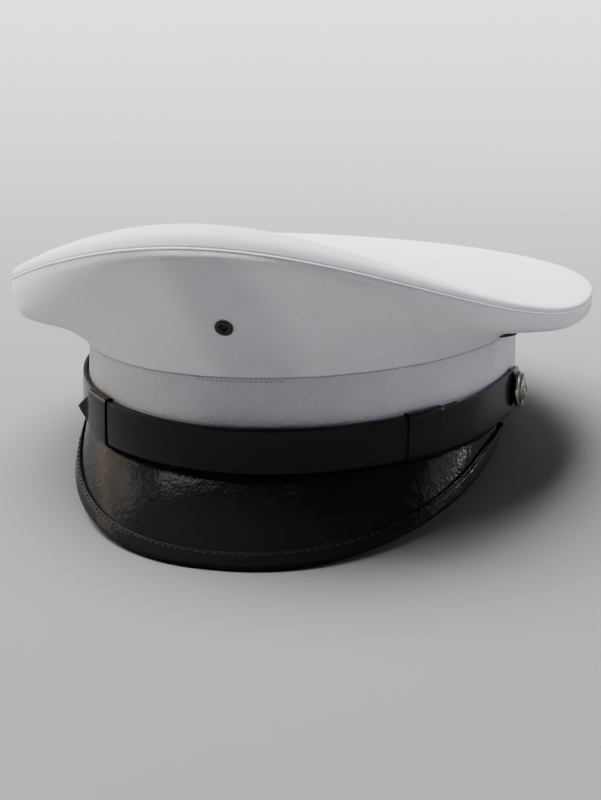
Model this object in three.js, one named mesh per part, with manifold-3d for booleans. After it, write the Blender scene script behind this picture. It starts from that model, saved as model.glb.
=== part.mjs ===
// Peaked uniform cap: white crown on an oval band, black glossy visor, chin strap on two side buttons.
// Millimetres, +Z up, front of the cap towards -Y. The cap lies on its visor edge and the rear of its band.

import * as THREE from 'three'
import { ParametricGeometry } from 'three/addons/geometries/ParametricGeometry.js'
import { mergeVertices } from 'three/addons/utils/BufferGeometryUtils.js'
import Module from 'manifold-3d'

const wasm = await Module()
wasm.setup()

// Head oval and band
const BAND_HALF_WIDTH = 86
const BAND_HALF_LENGTH = 104
const BAND_WALL = 2.5
const BAND_TOP = 38
const BAND_SIDE_LIFT = 6.5
const BAND_FRONT_LIFT = 3

// Cloth of the crown
const CLOTH = 1.6
const SEAM_GAP = 0.4
const TOP_SAG = 2.5
const STAY_PUSH = 1.6
const STAY_HALF_ANGLE = 13

// Visor and its rolled edge binding
const VISOR_HALF_WIDTH = 85
const VISOR_END_Y = -11.3
const VISOR_FRONT_Y = -125.2
const VISOR_END_Z = 6
const VISOR_FRONT_Z = -30.2
const VISOR_SHIFT = 0.9
const VISOR_ROOT_ANGLE = 80.5
const VISOR_ROOT_DROP = 2
const VISOR_WALL = 2.2
const VISOR_BULGE = 2
const VISOR_SPAN = 89.2
const BINDING_WALL = 1
const BINDING_WIDTH = 6.5

// Chin strap, its keepers and the side buttons
const STRAP_WIDTH = 16.9
const STRAP_FRONT_Z = 11
const STRAP_SIDE_RISE = 6.2
const STRAP_UNDER_WALL = 1.2
const STRAP_OUTER_WALL = 1.4
const STRAP_UNDER_OFFSET = 1.5
const STRAP_OUTER_OFFSET = 3
const STRAP_BUTTON_OFFSET = 1.4
const STRAP_END_ANGLE = 96
const STRAP_TIP_ANGLE = 53.5
const STRAP_TIP_LENGTH = 5.5
const STRAP_TIP_LIFT = 2.5
const KEEPER_ANGLE = { left: 43.2, right: 49.2 }
const KEEPER_HALF_ANGLE = 5
const KEEPER_WALL = 0.6
const KEEPER_GAP = 0.25
const BUTTON_ANGLE = 89
const BUTTON_RADIUS = 7.4
const BUTTON_SHANK_RADIUS = 1.5
const BUTTON_SHANK_LENGTH = 7
const BUTTON_HOLE_RADIUS = 1.9

// Eyelets
const EYELET_HOLE_RADIUS = 2.7
const FRONT_EYELET_ROW = 2.3
const FRONT_EYELET_ANGLE = 1.3
const SIDE_EYELET_ROW = 2.75
const SIDE_EYELET_ANGLE = 69

// How the cap lies, and how far its soft edges flatten on the floor
const REST_FLATTENING = 0.6

// Crown side wall, from the band's seam to the rim seam: out from the band, up from the seam.
const CROWN_SIDE_ROWS = [
  { outFront: 0.0, upFront: 0, outSide: 0, upSide: 0, outBack: 0, upBack: 0 },
  { outFront: 4.0, upFront: 8, outSide: 3.2, upSide: 1.6, outBack: 2, upBack: 0.6 },
  { outFront: 9.5, upFront: 18.5, outSide: 9, upSide: 3.4, outBack: 5, upBack: 0.2 },
  { outFront: 15.5, upFront: 30, outSide: 16, upSide: 4.2, outBack: 8, upBack: -0.2 },
  { outFront: 21.0, upFront: 41, outSide: 23, upSide: 4.6, outBack: 10.6, upBack: 0.6 },
  { outFront: 24.6, upFront: 47.6, outSide: 28, upSide: 6.2, outBack: 12.6, upBack: 3.4 },
  { outFront: 26.4, upFront: 50.6, outSide: 30.8, upSide: 10.4, outBack: 13.4, upBack: 7.6 },
  { outFront: 26.5, upFront: 53, outSide: 31.3, upSide: 15.6, outBack: 13, upBack: 12 },
]

// How each of those rows hangs: ease sharpens the change from front to side.
// lean raises the +X side and lowers the other, as the cloth sits a little askew.
// hitch draws the cloth up where it hangs over the band at the front of the +X side.
const CROWN_HANG_ROWS = [
  { ease: 2, lean: 2.2, hitch: 0 },
  { ease: 2.4, lean: 2.2, hitch: 0.5 },
  { ease: 2.6, lean: 2.2, hitch: 1.6 },
  { ease: 2.8, lean: 2.2, hitch: 2.8 },
  { ease: 2.8, lean: 2, hitch: 3 },
  { ease: 2.6, lean: 1.6, hitch: 2 },
  { ease: 2.2, lean: 0, hitch: 0.6 },
  { ease: 2, lean: -0.8, hitch: 0 },
]
const crownSide = CROWN_SIDE_ROWS.map((row, i) => ({ ...row, ...CROWN_HANG_ROWS[i] }))

// Crown top, from the rim seam over its shoulder to the crest: in from the rim, up from the rim
const CROWN_TOP_ROWS = [
  { inFront: 0.0, upFront: 0, inSide: 0, upSide: 0, inBack: 0, upBack: 0, lean: 0 },
  { inFront: 2.4, upFront: 4.6, inSide: 0.7, upSide: 2, inBack: 2, upBack: 3, lean: -0.6 },
  { inFront: 8.3, upFront: 7.8, inSide: 3, upSide: 3.2, inBack: 9, upBack: 5.4, lean: -1 },
]
const TOP_RINGS = [0.82, 0.58, 0.3, 0]
const TOP_HARMONICS = 5
const HITCH_ANGLE = 66
const HITCH_SPREAD = 17

// Button, turned: radius and height from its seat
const BUTTON_PROFILE = [
  { radius: 0, height: 4.4 },
  { radius: 2.6, height: 4.1 },
  { radius: 4.6, height: 3.3 },
  { radius: 5.8, height: 2.4 },
  { radius: 6.2, height: 2.5 },
  { radius: 6.9, height: 2.3 },
  { radius: BUTTON_RADIUS, height: 1.5 },
  { radius: BUTTON_RADIUS - 0.3, height: 0.7 },
  { radius: 6.2, height: 0.2 },
  { radius: BUTTON_SHANK_RADIUS, height: 0 },
  { radius: BUTTON_SHANK_RADIUS, height: -BUTTON_SHANK_LENGTH },
  { radius: 0, height: -BUTTON_SHANK_LENGTH },
]

// Eyelet, turned: front flange, barrel through the cloth and rolled rear flange
const EYELET_PROFILE = [
  { radius: 1.2, height: -2.8 },
  { radius: 3.3, height: -2.8 },
  { radius: 3.3, height: -2.2 },
  { radius: 2.2, height: -2.2 },
  { radius: 2.2, height: 0.4 },
  { radius: 3.6, height: 0.4 },
  { radius: 3.6, height: 0.8 },
  { radius: 3.1, height: 1.2 },
  { radius: 1.2, height: 1.2 },
  { radius: 1.2, height: -2.8 },
]

const RING_STEPS = 56
const VISOR_STEPS = 34
const STRAP_STEPS = 44
const radians = THREE.MathUtils.degToRad

const white = new THREE.MeshStandardMaterial({ color: 0xe9e9ec, roughness: 0.85, metalness: 0 })
const ribbon = new THREE.MeshStandardMaterial({ color: 0xd6d6de, roughness: 0.8, metalness: 0 })
const patent = new THREE.MeshStandardMaterial({ color: 0x0b0b0c, roughness: 0.12, metalness: 0 })
const vinyl = new THREE.MeshStandardMaterial({ color: 0x0d0d0e, roughness: 0.25, metalness: 0 })
const blackMetal = new THREE.MeshStandardMaterial({ color: 0x15151a, roughness: 0.4, metalness: 0.6 })
const darkMetal = new THREE.MeshStandardMaterial({ color: 0x2a2a2e, roughness: 0.45, metalness: 0.5 })
const silver = new THREE.MeshStandardMaterial({ color: 0xa9a598, roughness: 0.3, metalness: 1 })

// Solids from closed surfaces

function solidFrom(geometry) {
  const bare = geometry.clone()
  bare.deleteAttribute('normal')
  bare.deleteAttribute('uv')
  const merged = mergeVertices(bare, 1e-3)
  const corners = merged.index.array
  const kept = []
  for (let i = 0; i < corners.length; i += 3) {
    const [a, b, c] = [corners[i], corners[i + 1], corners[i + 2]]
    if (a !== b && b !== c && c !== a) kept.push(a, b, c)
  }
  const build = (triangles) => new wasm.Manifold(new wasm.Mesh({
    numProp: 3,
    vertProperties: Float32Array.from(merged.attributes.position.array),
    triVerts: Uint32Array.from(triangles),
  }))
  const solid = build(kept)
  return solid.volume() > 0 ? solid : build(kept.reverse())
}

function meshFrom(solid, name, material) {
  const { vertProperties, triVerts } = solid.getMesh()
  const geometry = new THREE.BufferGeometry()
  geometry.setAttribute('position', new THREE.BufferAttribute(Float32Array.from(vertProperties), 3))
  geometry.setIndex(Array.from(triVerts))
  geometry.computeVertexNormals()
  const mesh = new THREE.Mesh(geometry, material)
  mesh.name = name
  return mesh
}

// A section of rows carried all the way round; the last row joins the first
function ringSurface(rowCount, steps, pointAt) {
  const place = (u, v, target) => {
    const slice = (Math.round(u * steps) % steps) / steps
    return target.copy(pointAt(slice, Math.round(v * rowCount) % rowCount))
  }
  return new ParametricGeometry(place, steps, rowCount)
}

// A section of rows carried from one end to the other, closed flat at both ends
function barSurface(rowCount, steps, pointAt) {
  const centre = (u) => {
    const sum = new THREE.Vector3()
    for (let row = 0; row < rowCount; row++) sum.add(pointAt(u, row))
    return sum.divideScalar(rowCount)
  }
  const place = (u, v, target) => {
    const slice = Math.round(u * (steps + 2)) - 1
    if (slice < 0) return target.copy(centre(0))
    if (slice > steps) return target.copy(centre(1))
    return target.copy(pointAt(slice / steps, Math.round(v * rowCount) % rowCount))
  }
  return new ParametricGeometry(place, steps + 2, rowCount)
}

// A dome: rows from an outer pole down to the edge and back up inside to an inner pole
function domeSurface(rowCount, steps, pointAt) {
  const place = (u, v, target) => {
    const slice = (Math.round(u * steps) % steps) / steps
    return target.copy(pointAt(slice, Math.round(v * (rowCount - 1))))
  }
  return new ParametricGeometry(place, steps, rowCount - 1)
}

function turned(profile, sides) {
  const outline = profile.map(({ radius, height }) => new THREE.Vector2(radius, height))
  return new THREE.LatheGeometry(outline, sides)
}

// Stands a piece turned about +Y on a point of a surface, along its outward normal
function stand(geometry, { point, normal }) {
  const turn = new THREE.Quaternion().setFromUnitVectors(new THREE.Vector3(0, 1, 0), normal)
  const matrix = new THREE.Matrix4().compose(point, turn, new THREE.Vector3(1, 1, 1))
  return geometry.clone().applyMatrix4(matrix)
}

// Plan of the cap; angle 0 is the front and grows towards +X

function ovalPoint(angle, out, up) {
  const x = (BAND_HALF_WIDTH + out) * Math.sin(angle)
  const y = -(BAND_HALF_LENGTH + out) * Math.cos(angle)
  return new THREE.Vector3(x, y, up)
}

function quarters(angle, ease = 2) {
  const along = Math.cos(angle)
  const end = Math.abs(along) ** ease
  return { front: along > 0 ? end : 0, back: along > 0 ? 0 : end, side: 1 - end }
}

function blend(row, key, angle, ease) {
  const { front, side, back } = quarters(angle, ease)
  return row[key + 'Front'] * front + row[key + 'Side'] * side + row[key + 'Back'] * back
}

function normalOf(surface, angle, row, lastRow) {
  const step = 0.01
  const around = surface(angle + step, row).sub(surface(angle - step, row))
  const low = Math.max(0, row - 0.5)
  const high = Math.min(lastRow, row + 0.5)
  const along = surface(angle, high).sub(surface(angle, low))
  return around.cross(along).normalize()
}

function radial(angle) {
  return new THREE.Vector3(Math.sin(angle), -Math.cos(angle), 0)
}

function between(rows, row, read) {
  const low = Math.min(Math.floor(row), rows.length - 2)
  return THREE.MathUtils.lerp(read(rows[low]), read(rows[low + 1]), row - low)
}

// Band

function bandBottom(angle) {
  const ahead = Math.max(0, Math.cos(angle))
  return BAND_SIDE_LIFT * Math.abs(Math.sin(angle)) ** 3 + BAND_FRONT_LIFT * ahead ** 2
}

function bandTop(angle) {
  return BAND_TOP + crownSide[0].lean * Math.sin(angle)
}

const bandCorners = [
  { out: 0, top: 0 },
  { out: 0, top: 1 },
  { out: -BAND_WALL, top: 1 },
  { out: -BAND_WALL, top: 0 },
]

function bandPoint(u, row) {
  const angle = u * Math.PI * 2
  const { out, top } = bandCorners[row]
  return ovalPoint(angle, out, THREE.MathUtils.lerp(bandBottom(angle), bandTop(angle), top))
}

// Crown

const SIDE_LAST = crownSide.length - 1

function stayPush(angle, row) {
  const turn = Math.atan2(Math.sin(angle), Math.cos(angle)) / radians(STAY_HALF_ANGLE)
  const rise = Math.sin(Math.PI * Math.min(1, row / SIDE_LAST))
  return STAY_PUSH * rise * Math.exp(-(turn ** 4))
}

function hitchAt(angle) {
  const turn = Math.atan2(Math.sin(angle), Math.cos(angle))
  return Math.exp(-(((turn - radians(HITCH_ANGLE)) / radians(HITCH_SPREAD)) ** 2))
}

function sideWall(angle, row) {
  const out = between(crownSide, row, (r) => blend(r, 'out', angle, 2))
  const skew = (r) => r.lean * Math.sin(angle) + r.hitch * hitchAt(angle)
  const up = between(crownSide, row, (r) => blend(r, 'up', angle, r.ease) + skew(r))
  return ovalPoint(angle, out + stayPush(angle, row), BAND_TOP + SEAM_GAP + up)
}

function sideWallPoint(u, row) {
  const angle = u * Math.PI * 2
  if (row <= SIDE_LAST) return sideWall(angle, row)
  const inner = 2 * SIDE_LAST + 1 - row
  const onSeam = inner === 0 || inner === SIDE_LAST
  const normal = onSeam ? radial(angle) : normalOf(sideWall, angle, inner, SIDE_LAST)
  return sideWall(angle, inner).addScaledVector(normal, -CLOTH)
}

const CREST = CROWN_TOP_ROWS.length - 1
const TOP_LAST = CREST + TOP_RINGS.length

function shoulder(angle, row) {
  const rim = sideWall(angle, SIDE_LAST)
  const inward = between(CROWN_TOP_ROWS, row, (r) => blend(r, 'in', angle, 2))
  const up = between(CROWN_TOP_ROWS, row, (r) => blend(r, 'up', angle, 2) + r.lean * Math.sin(angle))
  return rim.addScaledVector(radial(angle), -inward).add(new THREE.Vector3(0, 0, up + SEAM_GAP))
}

// The slack top is a film hung from the crest: each wave of the crest's height fades towards the middle
const crestWaves = Array.from({ length: TOP_HARMONICS }, (_, n) => {
  const samples = 72
  let sum = 0
  for (let i = 0; i < samples; i++) {
    const angle = (i / samples) * Math.PI * 2
    sum += shoulder(angle, CREST).z * Math.cos(n * angle)
  }
  return sum * (n === 0 ? 1 : 2) / samples
})

function topPanel(angle, row) {
  if (row <= CREST) return shoulder(angle, row)
  const ring = between([1, ...TOP_RINGS], row - CREST, (k) => k)
  const crest = shoulder(angle, CREST)
  const film = (k) => crestWaves.reduce((sum, wave, n) => sum + wave * k ** n * Math.cos(n * angle), 0)
  const height = film(ring) + (crest.z - film(1)) * ring ** 8 - TOP_SAG * (1 - ring ** 2)
  return new THREE.Vector3(crest.x * ring, crest.y * ring, height)
}

function topPanelPoint(u, row) {
  const angle = u * Math.PI * 2
  if (row <= TOP_LAST) return topPanel(angle, TOP_LAST - row)
  const inner = row - TOP_LAST - 1
  if (inner === TOP_LAST) return topPanel(angle, inner).add(new THREE.Vector3(0, 0, -CLOTH))
  const normal = inner === 0 ? radial(angle) : normalOf(topPanel, angle, inner, TOP_LAST)
  return topPanel(angle, inner).addScaledVector(normal, -CLOTH)
}

// Visor

function visorRoot(share) {
  const angle = radians(VISOR_ROOT_ANGLE) * share
  return ovalPoint(angle, -0.4, bandBottom(angle) - VISOR_ROOT_DROP)
}

function visorEdge(share) {
  const turn = share * Math.PI / 2
  const across = Math.sign(share) * Math.abs(Math.sin(turn)) ** 0.9
  const ahead = Math.cos(turn)
  const y = THREE.MathUtils.lerp(VISOR_END_Y, VISOR_FRONT_Y, ahead ** 1.03)
  const z = THREE.MathUtils.lerp(VISOR_END_Z, VISOR_FRONT_Z, ahead ** 0.68)
  return new THREE.Vector3(VISOR_HALF_WIDTH * across + VISOR_SHIFT * Math.sqrt(ahead), y, z)
}

function visorSheet(share, reach) {
  const root = visorRoot(share)
  const edge = visorEdge(share)
  const arch = VISOR_BULGE * 4 * reach * (1 - reach) * Math.cos(share * Math.PI / 2)
  return root.lerp(edge, reach).add(new THREE.Vector3(0, -0.8 * arch, 0.6 * arch))
}

function visorNormal(share, reach) {
  const across = visorSheet(share + 0.004, reach).sub(visorSheet(share - 0.004, reach))
  const ahead = visorSheet(share, reach + 0.02).sub(visorSheet(share, reach - 0.02))
  return ahead.cross(across).normalize()
}

function visorShare(u) {
  return (2 * u - 1) * VISOR_SPAN / 90
}

function reachFromEdge(share, distance) {
  const length = visorRoot(share).distanceTo(visorEdge(share))
  return 1 - distance / length
}

// A ledge under the band's edge, then the sheet out to the binding and back underneath
const visorRows = [
  { ledgeOut: -2.3, ledgeDrop: 2.4 },
  { ledgeOut: -2.3, ledgeDrop: 0.4 },
  { ledgeOut: 0.4, ledgeDrop: 0.4 },
  { reach: 0.36, side: 1 },
  { reach: 0.7, side: 1 },
  { reach: 1, side: 1 },
  { reach: 1, side: -1 },
  { reach: 0.7, side: -1 },
  { reach: 0.36, side: -1 },
]

function visorPoint(u, row) {
  const share = visorShare(u)
  const { reach, side, ledgeOut, ledgeDrop } = visorRows[row]
  const angle = radians(VISOR_ROOT_ANGLE) * share
  if (ledgeDrop) return ovalPoint(angle, ledgeOut, bandBottom(angle) - ledgeDrop)
  const end = reachFromEdge(share, BINDING_WALL + 0.4)
  const at = reach * end
  return visorSheet(share, at).addScaledVector(visorNormal(share, at), side * VISOR_WALL / 2)
}

// The binding's section: distance in from the rim, and height off the visor's mid sheet
const bindingInside = VISOR_WALL / 2 + 0.35
const bindingOutside = bindingInside + BINDING_WALL
const bindingRows = [
  { inward: BINDING_WIDTH, off: bindingInside },
  { inward: BINDING_WIDTH, off: bindingOutside },
  { inward: 1.2, off: bindingOutside },
  { inward: 0, off: bindingOutside * 0.45 },
  { inward: 0, off: -bindingOutside * 0.45 },
  { inward: 1.2, off: -bindingOutside },
  { inward: BINDING_WIDTH, off: -bindingOutside },
  { inward: BINDING_WIDTH, off: -bindingInside },
  { inward: BINDING_WALL, off: -bindingInside },
  { inward: BINDING_WALL, off: bindingInside },
]

function bindingPoint(u, row) {
  const share = visorShare(u)
  const { inward, off } = bindingRows[row]
  const room = visorRoot(share).distanceTo(visorEdge(share)) * 0.62
  const at = reachFromEdge(share, Math.min(inward, room))
  return visorSheet(share, at).addScaledVector(visorNormal(share, at), off)
}

// Chin strap

function strapHeight(angle) {
  return STRAP_FRONT_Z + STRAP_SIDE_RISE * (1 - Math.cos(angle)) ** 0.85
}

function ramp(value, from, to) {
  return THREE.MathUtils.smoothstep(value, Math.min(from, to), Math.max(from, to))
}

// Half width of a strap: full along its run, round past the button, pointed or square at the far end
function strapHalfWidth(degrees, farEnd, pointed) {
  const full = STRAP_WIDTH / 2
  const roundStart = STRAP_END_ANGLE - 6
  if (degrees > roundStart) return full * Math.sqrt(Math.max(0.04, 1 - ((degrees - roundStart) / 6) ** 2))
  const left = degrees - farEnd
  return pointed ? full * THREE.MathUtils.clamp(left / STRAP_TIP_LENGTH, 0.08, 1) : full
}

// A strap runs from its button, at a positive angle, to its far end at a smaller one; side mirrors it.
// Its sections lie closer together at both ends, where it narrows.
function strapSurface({ side, farEnd, pointed, offset, wall, lift }) {
  return barSurface(8, STRAP_STEPS, (u, row) => {
    const closer = u - 0.6 * Math.sin(u * Math.PI * 2) / (Math.PI * 2)
    const degrees = THREE.MathUtils.lerp(STRAP_END_ANGLE, farEnd, closer)
    const angle = radians(degrees) * side
    const raised = lift * (1 - ramp(degrees, farEnd, farEnd + STRAP_TIP_LENGTH * 0.8))
    const inner = THREE.MathUtils.lerp(offset, STRAP_BUTTON_OFFSET, ramp(degrees, 63, 80)) + raised
    const halfWidth = strapHalfWidth(degrees, farEnd, pointed)
    const across = [-1, -1, -0.93, 0.93, 1, 1, 0.93, -0.93][row]
    const out = inner + wall * [0.25, 0.75, 1, 1, 0.75, 0.25, 0, 0][row]
    return ovalPoint(angle, out, strapHeight(angle) + across * halfWidth)
  })
}

// Keeper: a flat loop round both straps
const keeperCorners = [
  { far: 0, high: -1 },
  { far: 1, high: -1 },
  { far: 1, high: 1 },
  { far: 0, high: 1 },
]
const KEEPER_ROWS = 3

function keeperSurface(side, middle) {
  const near = STRAP_UNDER_OFFSET - KEEPER_GAP
  const far = STRAP_OUTER_OFFSET + STRAP_OUTER_WALL + KEEPER_GAP
  const half = STRAP_WIDTH / 2 + KEEPER_GAP
  return ringSurface(2 * (KEEPER_ROWS + 1), keeperCorners.length * 3, (u, row) => {
    const outerFace = row <= KEEPER_ROWS
    const along = outerFace ? row : 2 * KEEPER_ROWS + 1 - row
    const degrees = middle + KEEPER_HALF_ANGLE * (2 * along / KEEPER_ROWS - 1)
    const angle = radians(degrees) * side
    const place = u * keeperCorners.length
    const corner = keeperCorners[Math.floor(place) % 4]
    const next = keeperCorners[(Math.floor(place) + 1) % 4]
    const part = place - Math.floor(place)
    const grow = outerFace ? KEEPER_WALL : 0
    const read = ({ far: f, high }) => [f ? far + grow : near - grow, high * (half + grow)]
    const [out0, high0] = read(corner)
    const [out1, high1] = read(next)
    const out = THREE.MathUtils.lerp(out0, out1, part)
    return ovalPoint(angle, out, strapHeight(angle) + THREE.MathUtils.lerp(high0, high1, part))
  })
}

function buttonSeat(side) {
  const angle = radians(BUTTON_ANGLE) * side
  const point = ovalPoint(angle, STRAP_BUTTON_OFFSET + STRAP_OUTER_WALL + 0.35, strapHeight(angle))
  return { point, normal: new THREE.Vector3(side, 0, 0) }
}

function wallSeat(degrees, row) {
  const angle = radians(degrees)
  return { point: sideWall(angle, row), normal: normalOf(sideWall, angle, row, SIDE_LAST) }
}

// Cutting tools: plain pins and the floor
function pin(radius, length, seat) {
  return solidFrom(stand(new THREE.CylinderGeometry(radius, radius, length, 16), seat))
}

const buttonSeats = { left: buttonSeat(-1), right: buttonSeat(1) }
const eyeletSeats = {
  front: wallSeat(FRONT_EYELET_ANGLE, FRONT_EYELET_ROW),
  left: wallSeat(-SIDE_EYELET_ANGLE, SIDE_EYELET_ROW),
  right: wallSeat(SIDE_EYELET_ANGLE, SIDE_EYELET_ROW),
}
const buttonHoles = Object.values(buttonSeats).map((seat) => pin(BUTTON_HOLE_RADIUS, 24, seat))
const eyeletHoles = Object.values(eyeletSeats).map((seat) => pin(EYELET_HOLE_RADIUS, 14, seat))

function cutAll(solid, tools) {
  return tools.reduce((left, tool) => left.subtract(tool), solid)
}

const solids = {
  crown_top: solidFrom(domeSurface(2 * (TOP_LAST + 1), RING_STEPS, topPanelPoint)),
  crown_side: cutAll(solidFrom(ringSurface(2 * (SIDE_LAST + 1), RING_STEPS, sideWallPoint)), eyeletHoles),
  cap_band: cutAll(solidFrom(ringSurface(bandCorners.length, RING_STEPS, bandPoint)), buttonHoles),
  visor: solidFrom(barSurface(visorRows.length, VISOR_STEPS, visorPoint)),
  visor_binding: solidFrom(barSurface(bindingRows.length, VISOR_STEPS, bindingPoint)),
}

const outerStrap = {
  side: 1,
  farEnd: -STRAP_TIP_ANGLE,
  pointed: true,
  offset: STRAP_OUTER_OFFSET,
  wall: STRAP_OUTER_WALL,
  lift: STRAP_TIP_LIFT,
}
const underStrap = {
  side: -1,
  farEnd: -60,
  pointed: false,
  offset: STRAP_UNDER_OFFSET,
  wall: STRAP_UNDER_WALL,
  lift: 0,
}
solids.chin_strap_outer = cutAll(solidFrom(strapSurface(outerStrap)), buttonHoles)
solids.chin_strap_under = cutAll(solidFrom(strapSurface(underStrap)), buttonHoles)
solids.keeper_left = solidFrom(keeperSurface(-1, KEEPER_ANGLE.left))
solids.keeper_right = solidFrom(keeperSurface(1, KEEPER_ANGLE.right))
solids.button_left = solidFrom(stand(turned(BUTTON_PROFILE, 24), buttonSeats.left))
solids.button_right = solidFrom(stand(turned(BUTTON_PROFILE, 24), buttonSeats.right))
solids.eyelet_front = solidFrom(stand(turned(EYELET_PROFILE, 16), eyeletSeats.front))
solids.eyelet_side_left = solidFrom(stand(turned(EYELET_PROFILE, 16), eyeletSeats.left))
solids.eyelet_side_right = solidFrom(stand(turned(EYELET_PROFILE, 16), eyeletSeats.right))

const looks = {
  crown_top: white,
  crown_side: white,
  cap_band: ribbon,
  visor: patent,
  visor_binding: patent,
  chin_strap_outer: vinyl,
  chin_strap_under: vinyl,
  keeper_left: vinyl,
  keeper_right: vinyl,
  button_left: silver,
  button_right: silver,
  eyelet_front: blackMetal,
  eyelet_side_left: darkMetal,
  eyelet_side_right: darkMetal,
}

// Resting pose: tip the cap back until the visor's rim and the band's heel are level
function lowest(solid, tilt) {
  const { vertProperties } = solid.getMesh()
  let low = { z: Infinity, y: 0, level: Infinity }
  for (let i = 0; i < vertProperties.length; i += 3) {
    const [y, z] = [vertProperties[i + 1], vertProperties[i + 2]]
    const level = y * Math.sin(tilt) + z * Math.cos(tilt)
    if (level < low.level) low = { y, z, level }
  }
  return low
}

let tilt = 0
for (let i = 0; i < 4; i++) {
  const rim = lowest(solids.visor_binding, tilt)
  const heel = lowest(solids.cap_band, Math.min(tilt, -0.02))
  tilt = -Math.atan2(heel.z - rim.z, heel.y - rim.y)
}
const floor = lowest(solids.cap_band, tilt).level + REST_FLATTENING

// The soft rim and heel flatten where they bear on the floor
const floorBlock = new THREE.BoxGeometry(400, 400, 40).translate(0, 0, floor - 20).rotateX(-tilt)
const ground = solidFrom(floorBlock)
for (const name of ['visor_binding', 'cap_band']) solids[name] = solids[name].subtract(ground)

const pose = new THREE.Matrix4().makeRotationX(tilt)
const box = new THREE.Box3()
const body = new THREE.Group()
for (const [name, solid] of Object.entries(solids)) {
  const mesh = meshFrom(solid, name, looks[name])
  const laid = mesh.geometry.clone().applyMatrix4(pose)
  box.union(new THREE.Box3().setFromBufferAttribute(laid.attributes.position))
  body.add(mesh)
}
body.rotation.x = tilt

const cap = new THREE.Group()
cap.add(body)
const middle = box.getCenter(new THREE.Vector3())
body.position.set(-middle.x, -middle.y, -box.min.z)

export default cap
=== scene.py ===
import math

import bmesh
import bpy
from bpy.props import FloatProperty, FloatVectorProperty, PointerProperty
from bpy.types import Operator, Panel, PropertyGroup
from mathutils import Matrix, Vector


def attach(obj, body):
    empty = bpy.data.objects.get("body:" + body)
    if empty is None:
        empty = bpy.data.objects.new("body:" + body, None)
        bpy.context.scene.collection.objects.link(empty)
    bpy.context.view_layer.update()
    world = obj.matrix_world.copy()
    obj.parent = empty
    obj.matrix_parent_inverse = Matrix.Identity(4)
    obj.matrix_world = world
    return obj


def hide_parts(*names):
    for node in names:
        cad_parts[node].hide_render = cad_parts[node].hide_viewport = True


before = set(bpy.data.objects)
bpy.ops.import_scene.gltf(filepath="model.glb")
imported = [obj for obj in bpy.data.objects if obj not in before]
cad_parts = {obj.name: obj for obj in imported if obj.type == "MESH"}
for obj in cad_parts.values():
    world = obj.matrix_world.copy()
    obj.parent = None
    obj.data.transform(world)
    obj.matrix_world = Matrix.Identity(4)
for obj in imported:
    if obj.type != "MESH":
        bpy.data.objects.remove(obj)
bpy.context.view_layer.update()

bl_info = {
    "name": "Peaked Cap",
    "version": (1, 0, 0),
    "blender": (4, 5, 0),
    "location": "3D View > Sidebar > Cap",
    "description": "Builds a white peaked uniform cap piece by piece",
    "category": "Add Mesh",
}

# The cap's own frame is in millimetres, front towards -Y, band edge at zero; REST lays it down on the floor
REST_TILT = -7.645031
REST_SHIFT = (0.0, 0.00342379, 0.01323568)
REST_TURN = Matrix.Rotation(math.radians(REST_TILT), 4, "X")
REST = Matrix.Translation(REST_SHIFT) @ REST_TURN @ Matrix.Scale(0.001, 4)
FLOOR_CLEARANCE = 0.0002

# Cloth of the crown and band
SEAM_GAP = 0.4
BAND_SIDE_LIFT = 6.5
BAND_FRONT_LIFT = 3
STAY_HALF_ANGLE = 13
HITCH_ANGLE = 66
HITCH_SPREAD = 17
FILM_TURNS = 72
FILM_WAVES = 5

# Visor: where its root runs under the band, its ends and its front edge
VISOR_ROOT_ANGLE = 80.5
VISOR_ROOT_DROP = 2
VISOR_HALF_WIDTH = 85
VISOR_SHIFT = 0.9
VISOR_END_Y = -11.3
VISOR_FRONT_Y = -125.2
VISOR_END_Z = 6.0
VISOR_FRONT_Z = -30.2
VISOR_BULGE = 2
VISOR_SPAN = 89.2
VISOR_LEDGE = 0.94

# Chin strap, its keepers and the buttons: angles from the front, in degrees
STRAP_FRONT_Z = 11
STRAP_SIDE_RISE = 6.2
STRAP_END_ANGLE = 96
STRAP_ROUND_ANGLE = 90
STRAP_BUTTON_OFFSET = 1.4
STRAP_OUTER_WALL = 1.4
STRAP_UNDER_WALL = 1.2
STRAP_TIP_LENGTH = 5.5
STRAP_LIFT_LENGTH = 4.4
KEEPER_NEAR = 0.75
KEEPER_FAR = 4.98
KEEPER_ROOM = 0.75
KEEPER_HALF_ANGLE = 5
KEEPER_EASE = 0.3
BUTTON_ANGLE = 89
BUTTON_LIFT = 0.35

# Crown side wall: out from the band and up from its seam, at front, side and back
SIDE_ROWS = [
    dict(out=(0.0, 0, 0), up=(0, 0, 0), ease=2, lean=2.2, hitch=0),
    dict(out=(4.0, 3.2, 2), up=(8, 1.6, 0.6), ease=2.4, lean=2.2, hitch=0.5),
    dict(out=(9.5, 9, 5), up=(18.5, 3.4, 0.2), ease=2.6, lean=2.2, hitch=1.6),
    dict(out=(15.5, 16, 8), up=(30, 4.2, -0.2), ease=2.8, lean=2.2, hitch=2.8),
    dict(out=(21.0, 23, 10.6), up=(41, 4.6, 0.6), ease=2.8, lean=2, hitch=3),
    dict(out=(24.6, 28, 12.6), up=(47.6, 6.2, 3.4), ease=2.6, lean=1.6, hitch=2),
    dict(out=(26.4, 30.8, 13.4), up=(50.6, 10.4, 7.6), ease=2.2, lean=0, hitch=0.6),
    dict(out=(26.5, 31.3, 13), up=(53, 15.6, 12), ease=2, lean=-0.8, hitch=0),
]

# Crown top: in from the rim and up from it, at front, side and back
TOP_ROWS = [
    dict(inward=(0, 0, 0), up=(0, 0, 0), lean=0),
    dict(inward=(2.4, 0.35, 2), up=(4.6, 2.5, 3), lean=-0.6),
    dict(inward=(8.3, 3, 9), up=(7.8, 3.2, 5.4), lean=-1),
]

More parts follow.
